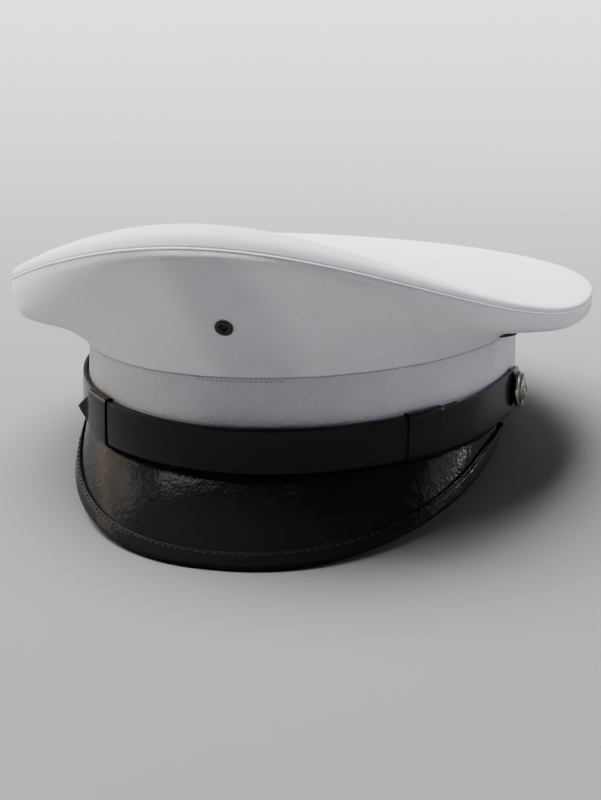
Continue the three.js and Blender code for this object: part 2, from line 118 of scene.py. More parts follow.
# Turned outlines: radius, and height from the seat
BUTTON_OUTLINE = [
    (0, 4.4), (1.4, 4.32), (2.7, 4.05), (3.9, 3.6), (4.7, 3.15), (4.95, 2.9), (5.15, 3.0), (5.4, 3.05),
    (5.6, 2.75), (5.75, 2.45), (6.0, 2.35), (6.7, 2.35), (7.1, 2.1), (7.4, 1.5), (7.25, 0.8), (6.6, 0.35),
    (1.5, 0.1), (1.5, -6.6), (0, -6.6),
]
EYELET_OUTLINE = [
    (1.2, -2.7), (3.2, -2.7), (3.2, -2.2), (2.2, -2.1), (2.2, 0.4), (3.45, 0.4), (3.6, 0.6), (3.5, 0.85),
    (3.1, 1.1), (2.5, 1.2), (1.9, 1.05), (1.4, 0.6), (1.2, 0.0), (1.2, -2.7),
]

# Raised work on a button: a roped ring and a ring of petals
BUTTON_RELIEF = [
    dict(count=40, radius=6.35, height=2.3, axis="Z", turn=0.6, size=(0.28, 0.62, 0.42), detail=1),
    dict(count=8, radius=2.3, height=4.05, axis="Y", turn=0.26, size=(1.3, 0.55, 0.38), detail=2),
]

EYELETS = [
    dict(name="front", degrees=1.3, row=2.3, slot="black_eyelet"),
    dict(name="side_left", degrees=-69, row=2.75, slot="dark_eyelet"),
    dict(name="side_right", degrees=69, row=2.75, slot="dark_eyelet"),
]
# Painted shade: a dark disc set just inside each eyelet's hole stands for the dark inside of the cap.
SHADE_DISC_RADIUS = 1.32
SHADE_DISC_HEIGHT = 0.3

# Studio: sizes in metres, power in watts, spread in degrees
FLOOR_RADIUS = 4.2
FLOOR_CURVE = 1.1
CAP_MIDDLE = (0, -0.05, 0.05)
WHITE = (1, 1, 1)
LIGHTS = [
    dict(name="sky", place=(-0.9, 0.4, 2.1), aim=(-0.9, 0.4, 0), size=(2.6, 1.5), power=250, spread=180),
    dict(name="back_floor", place=(0, 2.55, 1.3), aim=(0, 2.55, 0), size=(9, 4.2), power=1100, spread=50),
    dict(name="front_floor", place=(0, -3.4, 1.3), aim=(0, -3.4, 0), size=(9, 4.2), power=900, spread=50),
    dict(name="left_floor", place=(-3.4, 0, 1.3), aim=(-3.4, 0, 0), size=(4.2, 2.2), power=220, spread=50),
    dict(name="right_floor", place=(3.4, 0, 1.3), aim=(3.4, 0, 0), size=(4.2, 2.2), power=220, spread=50),
    dict(name="left_panel", place=(-1.25, 0.3, 0.42), size=(0.8, 0.6), power=3.2, colour=(1, 0.82, 0.62)),
    dict(name="left_high", place=(-1.15, 0.0, 0.62), size=(0.4, 0.35), power=0.7, colour=(1, 0.94, 0.86)),
    dict(name="right_panel", place=(1.25, 0.5, 0.42), size=(0.45, 0.5), power=1.6, colour=(0.94, 0.97, 1)),
    dict(name="right_spark", place=(1.283, 0.741, 0.235), size=(0.05, 0.07), power=0.7,
         aim=(0.07, -0.05, 0.03), colour=(0.9, 0.96, 1)),
    dict(name="left_low", place=(-1.45, -0.15, 0.25), size=(0.5, 0.3), power=0.3),
    dict(name="right_low", place=(1.45, -0.15, 0.25), size=(0.5, 0.3), power=0.1),
]
WORLD_COLOUR = (0.9, 0.92, 1, 1)
WORLD_STRENGTH = 0.02

# Camera: the photograph's viewing angle, in degrees, metres and millimetres of lens
CAMERA_TURN = dict(azimuth=16.5033, elevation=20.8076, roll=-2.0696)
CAMERA_TARGET = (-0.00155572, 0.00416032, 0.01902065)
CAMERA_DISTANCE = 1.1
CAMERA_LENS = 119.555
CAMERA_SENSOR = 36
CAMERA_REACH = 20


class CapSizes(PropertyGroup):
    """Sizes of the cap's pieces."""

    band_half_width: FloatProperty(
        name="Band half width", description="Half the band's outside width",
        default=0.086, unit="LENGTH"
    )
    band_half_length: FloatProperty(
        name="Band half length", description="Half the band's outside length",
        default=0.104, unit="LENGTH"
    )
    band_height: FloatProperty(
        name="Band height", description="Height of the band at the front",
        default=0.038, unit="LENGTH"
    )
    cloth: FloatProperty(
        name="Cloth", description="Thickness of the crown's cloth",
        default=0.0015, unit="LENGTH"
    )
    top_sag: FloatProperty(
        name="Top sag", description="How far the slack top hangs in the middle",
        default=0.0025, unit="LENGTH"
    )
    stay_push: FloatProperty(
        name="Stay push", description="How far the front stay pushes the cloth out",
        default=0.0016, unit="LENGTH"
    )
    visor_wall: FloatProperty(
        name="Visor thickness", description="Thickness of the visor",
        default=0.0022, unit="LENGTH"
    )
    binding_width: FloatProperty(
        name="Binding width", description="Width of the visor's edge binding",
        default=0.0065, unit="LENGTH"
    )
    strap_width: FloatProperty(
        name="Strap width", description="Width of the chin strap",
        default=0.0169, unit="LENGTH"
    )
    stitch: FloatProperty(
        name="Stitch pitch", description="Distance between the visor's stitches",
        default=0.0037, unit="LENGTH"
    )


class CapColours(PropertyGroup):
    """Colours of the cap's finishes."""

    crown: FloatVectorProperty(
        name="Crown", description="White twill",
        default=(0.77, 0.765, 0.82), subtype="COLOR", size=3
    )
    band: FloatVectorProperty(
        name="Band", description="Woven ribbon",
        default=(0.62, 0.63, 0.69), subtype="COLOR", size=3
    )
    patent: FloatVectorProperty(
        name="Patent", description="Glossy visor",
        default=(0.011, 0.011, 0.012), subtype="COLOR", size=3
    )
    vinyl: FloatVectorProperty(
        name="Vinyl", description="Chin strap",
        default=(0.0085, 0.0085, 0.0093), subtype="COLOR", size=3
    )
    silver: FloatVectorProperty(
        name="Silver", description="Raised metal of the buttons",
        default=(0.30, 0.28, 0.24), subtype="COLOR", size=3
    )
    enamel: FloatVectorProperty(
        name="Enamel", description="Eyelets",
        default=(0.012, 0.012, 0.014), subtype="COLOR", size=3
    )
    floor: FloatVectorProperty(
        name="Floor", description="Studio floor",
        default=(0.17, 0.17, 0.17), subtype="COLOR", size=3
    )


def mix(a, b, t):
    return a + (b - a) * t


def smooth(t):
    t = min(1.0, max(0.0, t))
    return t * t * (3 - 2 * t)


class CapForm:
    """The cap's surfaces, as functions of a turn round the head and a place along the section."""

    def __init__(self, sizes):
        self.half_width = sizes.band_half_width * 1000
        self.half_length = sizes.band_half_length * 1000
        self.height = sizes.band_height * 1000
        self.sag = sizes.top_sag * 1000
        self.stay = sizes.stay_push * 1000
        self.binding = sizes.binding_width * 1000
        self.strap_half = sizes.strap_width * 500
        self.last = len(SIDE_ROWS) - 1
        self.crest_row = len(TOP_ROWS) - 1
        turns = [i / FILM_TURNS * math.tau for i in range(FILM_TURNS)]
        heights = [self.shoulder(t, self.crest_row).z for t in turns]
        self.waves = [self.wave(n, heights, turns) for n in range(FILM_WAVES)]

    def wave(self, n, heights, turns):
        total = sum(height * math.cos(n * turn) for height, turn in zip(heights, turns))
        return total * (2 if n else 1) / FILM_TURNS

    def oval(self, turn, out, up):
        across = (self.half_width + out) * math.sin(turn)
        return Vector((across, -(self.half_length + out) * math.cos(turn), up))

    def outward(self, turn):
        return Vector((math.sin(turn), -math.cos(turn), 0))

    def blend(self, values, turn, ease=2):
        along = math.cos(turn)
        end = abs(along) ** ease
        return values[1] * (1 - end) + (values[0] if along > 0 else values[2]) * end

    def spline(self, rows, row, read):
        low = min(int(row), len(rows) - 2)
        t = row - low
        p1, p2 = read(rows[low]), read(rows[low + 1])
        p0 = read(rows[low - 1]) if low > 0 else 2 * p1 - p2
        p3 = read(rows[low + 2]) if low + 2 < len(rows) else 2 * p2 - p1
        return p1 + 0.5 * t * (p2 - p0 + t * (2 * p0 - 5 * p1 + 4 * p2 - p3 + t * (3 * (p1 - p2) + p3 - p0)))

    def band_bottom(self, turn):
        return BAND_SIDE_LIFT * abs(math.sin(turn)) ** 3 + BAND_FRONT_LIFT * max(0.0, math.cos(turn)) ** 2

    def band_top(self, turn):
        return self.height + SIDE_ROWS[0]["lean"] * math.sin(turn)

    def hitch(self, turn):
        off = math.atan2(math.sin(turn), math.cos(turn)) - math.radians(HITCH_ANGLE)
        return math.exp(-(off / math.radians(HITCH_SPREAD)) ** 2)

    def wall(self, turn, row):
        out = self.spline(SIDE_ROWS, row, lambda r: self.blend(r["out"], turn))
        skew = self.hitch(turn)
        sway = math.sin(turn)

        def height(r):
            return self.blend(r["up"], turn, r["ease"]) + r["lean"] * sway + r["hitch"] * skew

        up = self.spline(SIDE_ROWS, row, height)
        off = math.atan2(math.sin(turn), math.cos(turn)) / math.radians(STAY_HALF_ANGLE)
        push = self.stay * math.sin(math.pi * min(1, row / self.last)) * math.exp(-off ** 4)
        return self.oval(turn, out + push, self.height + SEAM_GAP + up)

    def shoulder(self, turn, row):
        rim = self.wall(turn, self.last)
        inward = self.spline(TOP_ROWS, row, lambda r: self.blend(r["inward"], turn))
        up = self.spline(TOP_ROWS, row, lambda r: self.blend(r["up"], turn) + r["lean"] * math.sin(turn))
        return rim - self.outward(turn) * inward + Vector((0, 0, up + SEAM_GAP))

    def film(self, turn, k):
        return sum(wave * k ** n * math.cos(n * turn) for n, wave in enumerate(self.waves))

    def top(self, turn, ring):
        crest = self.shoulder(turn, self.crest_row)
        edge = (crest.z - self.film(turn, 1)) * ring ** 8
        height = self.film(turn, ring) + edge - self.sag * (1 - ring ** 2)
        return Vector((crest.x * ring, crest.y * ring, height))

    def visor_root(self, share):
        turn = math.radians(VISOR_ROOT_ANGLE) * share
        return self.oval(turn, -SEAM_GAP, self.band_bottom(turn) - VISOR_ROOT_DROP)

    def visor_edge(self, share):
        turn = share * math.pi / 2
        across = math.copysign(abs(math.sin(turn)) ** 0.9, share)
        ahead = max(0.0, math.cos(turn))
        x = VISOR_HALF_WIDTH * across + VISOR_SHIFT * math.sqrt(ahead)
        y = mix(VISOR_END_Y, VISOR_FRONT_Y, ahead ** 1.03)
        return Vector((x, y, mix(VISOR_END_Z, VISOR_FRONT_Z, ahead ** 0.68)))

    def visor_share(self, u):
        """Place across the visor, from -1 at one end to 1 at the other, short of both ends."""
        return (2 * u - 1) * VISOR_SPAN / 90

    def visor(self, share, reach):
        arch = 4 * VISOR_BULGE * reach * (1 - reach) * math.cos(share * math.pi / 2)
        tuck = reach * smooth((abs(share) - 0.88) / 0.11)
        straight = self.visor_root(share).lerp(self.visor_edge(share), reach)
        return straight + Vector((0, -0.8 * arch, 0.6 * arch + tuck))

    def visor_normal(self, share, reach):
        across = self.visor(share + 0.004, reach) - self.visor(share - 0.004, reach)
        ahead = self.visor(share, reach + 0.02) - self.visor(share, reach - 0.02)
        return ahead.cross(across).normalized()

    def visor_length(self, share):
        return (self.visor_edge(share) - self.visor_root(share)).length

    def strap_height(self, turn):
        return STRAP_FRONT_Z + STRAP_SIDE_RISE * (1 - math.cos(turn)) ** 0.85


# Shader expressions


class Wire:
    """A node socket that can be used in Python sums."""

    def __init__(self, tree, socket=None):
        self.tree = tree
        self.socket = socket

    def node(self, kind, settings=None, inputs=None, out=0):
        made = self.tree.nodes.new("ShaderNode" + kind)
        for key, value in (settings or {}).items():
            setattr(made, key, value)
        for key, value in (inputs or {}).items():
            if isinstance(value, Wire):
                self.tree.links.new(value.socket, made.inputs[key])
            else:
                made.inputs[key].default_value = value
        return Wire(self.tree, made.outputs[out])

    def math(self, operation, *values):
        return self.node("Math", {"operation": operation}, dict(enumerate(values)))

    def __add__(self, other):
        return self.math("ADD", self, other)

    def __radd__(self, other):
        return self.math("ADD", other, self)

    def __sub__(self, other):
        return self.math("SUBTRACT", self, other)

    def __rsub__(self, other):
        return self.math("SUBTRACT", other, self)

    def __mul__(self, other):
        return self.math("MULTIPLY", self, other)

    def __rmul__(self, other):
        return self.math("MULTIPLY", other, self)

    def wave(self, period):
        return self.math("SINE", self * (math.tau / period))

    def clamp(self, low, high):
        return self.node("MapRange", {}, {"Value": self, "From Min": low, "From Max": high})


def colour4(colour):
    return (*colour[:3], 1.0)


class Finish:
    """A new material with its shader, object coordinates and woven coordinates at hand."""

    def __init__(self, name, **constants):
        self.material = bpy.data.materials.new("cap_" + name)
        self.material.use_nodes = True
        tree = self.material.node_tree
        tree.nodes.clear()
        self.shader = tree.nodes.new("ShaderNodeBsdfPrincipled")
        result = tree.nodes.new("ShaderNodeOutputMaterial")
        tree.links.new(self.shader.outputs[0], result.inputs[0])
        for key, value in constants.items():
            self.shader.inputs[key.replace("_", " ")].default_value = value
        self.start = Wire(tree)
        self.place = self.start.node("TexCoord", out=3)

    def woven(self):
        uv = self.start.node("UVMap", {"uv_map": "weave"})
        apart = self.start.node("SeparateXYZ", {}, {0: uv}).socket.node
        return [Wire(self.start.tree, socket) for socket in apart.outputs[:2]]

    def noise(self, scale, detail=2.0, roughness=0.5, vector=None):
        inputs = {"Vector": vector or self.place, "Scale": scale, "Detail": detail, "Roughness": roughness}
        return self.start.node("TexNoise", {}, inputs)

    def tint(self, factor, low, high):
        inputs = {0: factor, 6: colour4(low), 7: colour4(high)}
        return self.start.node("Mix", {"data_type": "RGBA"}, inputs, 2)

    def axes(self):
        apart = self.start.node("SeparateXYZ", {}, {0: self.place}).socket.node
        return [Wire(self.start.tree, socket) for socket in apart.outputs]

    def darkened(self, base, factor, colour):
        settings = {"data_type": "RGBA", "blend_type": "MULTIPLY"}
        return self.start.node("Mix", settings, {0: factor, 6: base, 7: colour4(colour)}, 2)

    def bump(self, height, strength, distance):
        return self.start.node("Bump", {}, {"Height": height, "Strength": strength, "Distance": distance})

    def feed(self, **links):
        for key, wire in links.items():
            self.start.tree.links.new(wire.socket, self.shader.inputs[key.replace("_", " ")])
        return self.material


def shade(colour, factor):
    return tuple(c * factor for c in colour)


def twill_finish(colours):
    """Fine white twill: diagonal ribs, fuzz, faint handling marks and a painted grey shade on the front of
    the wall, where the stay is.
    """
    cloth = Finish("twill", Sheen_Weight=0.08, Sheen_Roughness=0.5, Specular_IOR_Level=0.2)
    across, up = cloth.woven()
    rib = (across + up).wave(0.0012)
    thread = (across - up).wave(0.0007)
    weave = rib * 0.6 + thread * 0.25
    marks = cloth.noise(38, 4, 0.6)
    fuzz = cloth.noise(1500, 2)
    x, y, z = cloth.axes()
    # Painted shade: stay masks a slanted zone on the front of the wall, up to just under the rim, where the
    # cloth's colour is darkened to grey.
    slant = x + (z - 0.113) * 0.31
    stay = (slant + 0.024).clamp(0.0, 0.012) * (0.022 - slant).clamp(0.0, 0.016)
    stay = stay * (-0.088 - y).clamp(0.0, 0.004)
    tone = (marks - 0.5) * 0.5 + weave * 0.35 + (fuzz - 0.5) * 0.9 + 0.5
    cloth_tint = cloth.tint(tone, shade(colours.crown, 0.88), shade(colours.crown, 1.1))
    return cloth.feed(
        # Painted shade: the stay mask darkens the cloth's base colour.
        Base_Color=cloth.darkened(cloth_tint, stay * (0.119 - z).clamp(0.0, 0.002), shade((1, 1, 1.01), 0.8)),
        Roughness=0.86 + marks * 0.08,
        Normal=cloth.bump(weave * 0.5 + fuzz * 0.8 + marks, 0.6, 0.0003),
    )


def ribbon_finish(colours):
    """Woven band: fine upright cords crossed by close threads, with a watered look."""
    band = Finish("ribbon", Sheen_Weight=0.1, Sheen_Roughness=0.4, Specular_IOR_Level=0.25)
    across, up = band.woven()
    water = band.noise(70, 2)
    grain = band.noise(1300, 2)
    cords = (across + water * 0.0012).wave(0.0013)
    picks = (up + water * 0.0008).wave(0.0009)
    weave = cords * picks
    tone = weave * 0.45 + (water - 0.5) * 0.5 + (grain - 0.5) * 0.8 + 0.5
    return band.feed(
        Base_Color=band.tint(tone, shade(colours.band, 0.78), shade(colours.band, 1.14)),
        Roughness=0.74 + water * 0.12,
        Normal=band.bump(weave + grain * 0.5, 0.6, 0.0003),
    )


def patent_finish(colours):
    """Black patent sheet: high gloss over a slight orange peel."""
    patent = Finish("patent", Specular_IOR_Level=0.026)
    peel = patent.noise(520, 3, 0.6)
    ripple = patent.noise(150, 3, 0.6)
    dust = patent.noise(900, 3, 0.7).clamp(0.62, 0.78)
    relief = peel * 0.5 + ripple
    return patent.feed(
        Base_Color=patent.tint(dust, colours.patent, shade(colours.patent, 2.2)),
        Roughness=0.06 + dust * 0.1 + ripple * 0.04,
        Normal=patent.bump(relief, 0.5, 0.0006),
    )


def vinyl_finish(colours):
    """Smooth strap vinyl: even gloss, soft waviness, fine rubbing marks along its length."""
    vinyl = Finish("vinyl", Specular_IOR_Level=0.08)
    across, up = vinyl.woven()
    stretched = vinyl.start.node("CombineXYZ", {}, {0: across * 60, 1: up * 900})
    rub = vinyl.noise(1.0, 3, 0.6, stretched)
    soft = vinyl.noise(60, 2)
    return vinyl.feed(
        Base_Color=vinyl.tint(rub, colours.vinyl, shade(colours.vinyl, 1.8)),
        Roughness=0.14 + rub * 0.14,
        Normal=vinyl.bump(soft * 0.8 + rub * 0.1, 0.2, 0.0005),
    )


def silver_finish(colours):
    """Antique silver: bright on the raised metal, dark in the recesses."""
    silver = Finish("silver", Metallic=1.0)
    height, _ = silver.woven()
    grime = silver.noise(700, 4, 0.65)
    low = (height + (grime - 0.5) * 0.9).clamp(0.4, 0.95)
    return silver.feed(
        Base_Color=silver.tint(low, (0.008, 0.007, 0.006), colours.silver),
        Roughness=0.5 - low * 0.27,
        Normal=silver.bump(grime, 0.25, 0.0002),
    )


def enamel_finish(colours):
    """Black enamelled eyelet with rubbed spots."""
    enamel = Finish("enamel", Specular_IOR_Level=0.3)
    chips = enamel.noise(900, 3, 0.6).clamp(0.6, 0.75)
    return enamel.feed(
        Base_Color=enamel.tint(chips, colours.enamel, (0.06, 0.06, 0.065)),
        Roughness=0.28 + chips * 0.2,
        Normal=enamel.bump(chips, 0.15, 0.0001),
    )


def thread_finish(name, colour):
    """Twisted sewing thread."""
    thread = Finish(name, Roughness=0.7, Specular_IOR_Level=0.3)
    twist = thread.noise(3000, 2)
    return thread.feed(
        Base_Color=thread.tint(twist, shade(colour, 0.75), shade(colour, 1.2)),
        Normal=thread.bump(twist, 0.4, 0.0001),
    )


FINISHES = {
    "twill": twill_finish,
    "ribbon": ribbon_finish,
    "patent": patent_finish,
    "vinyl": vinyl_finish,
    "silver": silver_finish,
    "enamel": enamel_finish,
    "white_thread": lambda colours: thread_finish("white_thread", shade(colours.crown, 0.9)),
    "grey_thread": lambda colours: thread_finish("grey_thread", (0.25, 0.25, 0.27)),
    "black_thread": lambda colours: thread_finish("black_thread", (0.014, 0.014, 0.015)),
}


def finish_named(context, name):
    return bpy.data.materials.get("cap_" + name) or FINISHES[name](context.scene.cap_colours)


# Pieces


def sheet(across, along, place, size, closed=False):
    """A grid laid on a surface; its woven coordinates are in metres."""
    bm = bmesh.new()
    weave = bm.loops.layers.uv.new("weave")
    bmesh.ops.create_grid(bm, x_segments=across, y_segments=along, size=0.5)
    for face in bm.faces:
        for loop in face.loops:
            loop[weave].uv = ((loop.vert.co.x + 0.5) * size[0], (loop.vert.co.y + 0.5) * size[1])
    for vert in bm.verts:
        vert.co = place(vert.co.x + 0.5, vert.co.y + 0.5)
    if closed:
        bmesh.ops.remove_doubles(bm, verts=bm.verts, dist=0.002)
    return bm


def spin_outline(bm, outline, steps):
    """An outline spun about its axis, with its seam and poles closed."""
    verts = [bm.verts.new((radius, 0, height)) for radius, height in outline]
    edges = [bm.edges.new(pair) for pair in zip(verts, verts[1:])]
    about = dict(cent=(0, 0, 0), axis=(0, 0, 1), angle=math.tau)
    bmesh.ops.spin(bm, geom=verts + edges, steps=steps, use_merge=True, **about)
    bmesh.ops.remove_doubles(bm, verts=bm.verts, dist=0.001)


def stood(bm, seat):
    """Stands a turned piece on its seat, a point and a normal."""
    point, normal = seat
    matrix = Matrix.Translation(point) @ normal.to_track_quat("Z", "Y").to_matrix().to_4x4()
    bmesh.ops.transform(bm, matrix=matrix, verts=bm.verts)
    return bm


def finish_piece(context, bm, name, finish, slot, node=None, wall=0.0, rounding=0.0, sharp=None):
    """Lays the piece down with the cap, gives it its finish and sets it on the frame."""
    bmesh.ops.transform(bm, matrix=REST, verts=bm.verts)
    for vert in bm.verts:
        vert.co.z = max(vert.co.z, FLOOR_CLEARANCE)
    mesh = bpy.data.meshes.new(name)
    bm.to_mesh(mesh)
    bm.free()
    mesh.shade_smooth()
    if sharp:
        mesh.set_sharp_from_angle(angle=math.radians(sharp))
    piece = bpy.data.objects.new(name, mesh)
    context.scene.collection.objects.link(piece)
    mesh.materials.append(finish_named(context, finish))
    if wall:
        shell = piece.modifiers.new("wall", "SOLIDIFY")
        shell.thickness = wall
        shell.offset = -1
    if rounding:
        edge = piece.modifiers.new("soft_edge", "BEVEL")
        edge.width = rounding
        edge.segments = 3
        edge.limit_method = "ANGLE"
        edge.angle_limit = math.radians(50)
    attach(piece, "root")
    if node:
        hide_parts(node)
    return piece


def stitch_run(points, normals, thickness, share):
    """Short threads lying along a line of points; share is how much of each pitch the thread covers."""
    bm = bmesh.new()
    for i in range(len(points) - 1):
        step = points[i + 1] - points[i]
        middle = (points[i] + points[i + 1]) / 2
        along = step.normalized()
        side = normals[i].cross(along).normalized()
        lift = along.cross(side)
        turn = Matrix((along, side, lift)).transposed().to_4x4()
        scale = Matrix.Diagonal((step.length * share / 2, thickness, thickness, 1))
        place = Matrix.Translation(middle) @ turn @ scale
        bmesh.ops.create_icosphere(bm, subdivisions=1, radius=1, matrix=place)
    return bm


class CapOperator(Operator):
    """Base of the cap's building steps."""

    bl_options = {"REGISTER", "UNDO"}

    def form(self, context):
        return CapForm(context.scene.cap_sizes)


class CAP_OT_crown_side(CapOperator):
    """Flared cloth wall from the band to the rim seam"""

    bl_idname = "cap.crown_side"
    bl_label = "Crown Side"

    def execute(self, context):
        form = self.form(context)

        def place(u, v):
            turn = u * math.tau
            row = v * form.last
            point = form.wall(turn, row)
            tuck = smooth((v - 0.975) / 0.025)
            foot = smooth((0.03 - v) / 0.03)
            pull = form.outward(turn) * (0.3 * tuck + 0.15 * foot)
            return point - pull + Vector((0, 0, 0.1 * tuck))

        bm = sheet(200, 56, place, (0.74, 0.062), closed=True)
        wall = context.scene.cap_sizes.cloth
        name = "crown_side_cloth"
        finish_piece(context, bm, name, "twill", "white_twill", "crown_side", wall=wall)
        return {"FINISHED"}


class CAP_OT_crown_top(CapOperator):
    """Slack top panel with its rounded shoulder"""

    bl_idname = "cap.crown_top"
    bl_label = "Crown Top"

    def execute(self, context):
        form = self.form(context)
        shoulder_share = 0.26

        def place(u, v):
            turn = u * math.tau
            if v < shoulder_share:
                row = v / shoulder_share * form.crest_row
                tuck = smooth((0.03 - v) / 0.03)
                return form.shoulder(turn, row) - form.outward(turn) * (0.3 * tuck)
            return form.top(turn, 1 - (v - shoulder_share) / (1 - shoulder_share))

        bm = sheet(200, 46, place, (0.72, 0.13), closed=True)
        wall = context.scene.cap_sizes.cloth
        name = "crown_top_cloth"
        piece = finish_piece(context, bm, name, "twill", "white_twill", "crown_top", wall=wall)
        relax = piece.modifiers.new("relax", "SMOOTH")
        relax.factor = 0.5
        relax.iterations = 2
        return {"FINISHED"}


class CAP_OT_band(CapOperator):
    """Woven band round the head"""

    bl_idname = "cap.band"
    bl_label = "Band"

    def execute(self, context):
        form = self.form(context)

        def place(u, v):
            turn = u * math.tau
            swell = 0.2 * math.sin(math.pi * v)
            bottom = form.band_bottom(turn) + 1.7 * smooth((abs(math.sin(turn)) - 0.9) / 0.07)
            return form.oval(turn, swell - 0.2, mix(bottom, form.band_top(turn) + 0.22, v))

        bm = sheet(200, 14, place, (0.6, 0.038), closed=True)
        walls = dict(wall=0.0022, rounding=0.0005)
        finish_piece(context, bm, "band_ribbon", "ribbon", "woven_band", "cap_band", **walls)
        return {"FINISHED"}


class CAP_OT_visor(CapOperator):
    """Glossy visor sheet"""

    bl_idname = "cap.visor"
    bl_label = "Visor"

    def execute(self, context):
        form = self.form(context)
        half = context.scene.cap_sizes.visor_wall * 500

        def place(u, v):
            share = form.visor_share(u)
            turn = math.radians(VISOR_ROOT_ANGLE) * share
            if v > VISOR_LEDGE:
                ledge = (v - VISOR_LEDGE) / 0.06
                return form.oval(turn, mix(0.4, -2.2, ledge), form.band_bottom(turn) - 0.45)
            reach = 0.06 + (1 - v / VISOR_LEDGE) * 0.9
            return form.visor(share, reach) + form.visor_normal(share, reach) * half

        bm = sheet(140, 34, place, (0.26, 0.04))
        finish_piece(context, bm, "visor_sheet", "patent", "black_patent", "visor", wall=half * 0.002)
        return {"FINISHED"}


class CAP_OT_binding(CapOperator):
    """Rolled binding sewn over the visor's edge"""

    bl_idname = "cap.binding"
    bl_label = "Visor Binding"

    def execute(self, context):
        form = self.form(context)
        sizes = context.scene.cap_sizes
        off = sizes.visor_wall * 500 + 1.25
        width = form.binding

        def section(v):
            """Distance in from the rim and height off the visor, from under the sheet round to its top."""
            if v < 0.36:
                t = v / 0.36
                return mix(width, 1.6, t), -off + 0.25 * (1 - t)
            if v > 0.64:
                t = (v - 0.64) / 0.36
                return mix(1.6, width, t), off - 0.35 * smooth((t - 0.55) / 0.45)
            arc = (v - 0.5) / 0.14 * math.pi / 2
            return 1.6 * (1 - math.cos(arc)), off * math.sin(arc)

        def place(u, v):
            share = form.visor_share(u)
            inward, height = section(v)
            length = form.visor_length(share)
            reach = 1 - min(inward, length * 0.62) / length
            return form.visor(share, reach) + form.visor_normal(share, reach) * height

        bm = sheet(160, 40, place, (0.28, 0.016))
        finish_piece(context, bm, "visor_rim", "patent", "black_patent", "visor_binding", wall=0.0008)

        pitch = sizes.stitch * 1000
        count = int(300 / pitch)
        points, normals = [], []
        for i in range(count + 1):
            share = (2 * i / count - 1) * 0.8
            length = form.visor_length(share)
            reach = 1 - min(width - 1.1, length * 0.5) / length
            normal = form.visor_normal(share, reach)
            points.append(form.visor(share, reach) + normal * (off - 0.02))
            normals.append(normal)
        threads = stitch_run(points, normals, 0.3, 0.62)
        finish_piece(context, threads, "visor_stitching", "black_thread", "black_patent")
        return {"FINISHED"}


class CAP_OT_strap(CapOperator):
    """Two halves of the chin strap and the keepers that hold them"""

    bl_idname = "cap.strap"
    bl_label = "Chin Strap"

    def strap(self, context, form, name, node, side, far_end, offset, wall, pointed, lift):
        half = form.strap_half

        def place(u, v):
            run = u if side > 0 else 1 - u
            closer = run - 0.6 * math.sin(run * math.tau) / math.tau
            degrees = mix(far_end, STRAP_END_ANGLE, closer)
            turn = math.radians(degrees) * side
            raised = lift * (1 - smooth((degrees - far_end) / STRAP_LIFT_LENGTH))
            out = mix(offset, STRAP_BUTTON_OFFSET, smooth((degrees - 63) / 17)) + raised + wall
            width = half
            if degrees > STRAP_ROUND_ANGLE:
                past = (degrees - STRAP_ROUND_ANGLE) / (STRAP_END_ANGLE - STRAP_ROUND_ANGLE)
                width = half * math.sqrt(max(0.02, 1 - past ** 2))
            elif pointed:
                width = half * min(1, max(0.04, (degrees - far_end) / STRAP_TIP_LENGTH))
            crown = 0.25 * (1 - (2 * v - 1) ** 4) - 0.25
            return form.oval(turn, out + crown, form.strap_height(turn) + (2 * v - 1) * width)

        bm = sheet(170, 12, place, (0.3, 0.017))
        walls = dict(wall=wall * 0.0009, rounding=0.0004)
        finish_piece(context, bm, name, "vinyl", "black_vinyl", node, **walls)

    def keeper(self, context, form, name, node, side, middle):
        near, far, half = KEEPER_NEAR, KEEPER_FAR, form.strap_half + KEEPER_ROOM

        def place(u, v):
            along = u if side > 0 else 1 - u
            degrees = middle + mix(-KEEPER_HALF_ANGLE, KEEPER_HALF_ANGLE, along)
            turn = math.radians(degrees) * side
            angle = (v + 0.5) * math.tau
            depth, rise = math.cos(angle), math.sin(angle)
            flat = max(abs(depth), abs(rise))
            depth, rise = depth / flat, rise / flat
            out = (near + far) / 2 + depth * ((far - near) / 2 - KEEPER_EASE * smooth(abs(rise) * 6 - 5))
            up = rise * (half - KEEPER_EASE * smooth(abs(depth) * 4 - 3))
            return form.oval(turn, out, form.strap_height(turn) + up)

        bm = sheet(14, 64, place, (0.019, 0.046), closed=True)
        finish_piece(context, bm, name, "vinyl", "black_vinyl", node, wall=0.0003, rounding=0.0001)

    def execute(self, context):
        form = self.form(context)
        outer = dict(side=1, far_end=-53.5, offset=3.0, wall=STRAP_OUTER_WALL, pointed=True, lift=2.5)
        under = dict(side=-1, far_end=-60, offset=1.5, wall=STRAP_UNDER_WALL, pointed=False, lift=0)
        self.strap(context, form, "strap_outer", "chin_strap_outer", **outer)
        self.strap(context, form, "strap_under", "chin_strap_under", **under)
        self.keeper(context, form, "keeper_loop_left", "keeper_left", side=-1, middle=43.2)
        self.keeper(context, form, "keeper_loop_right", "keeper_right", side=1, middle=49.2)
        return {"FINISHED"}


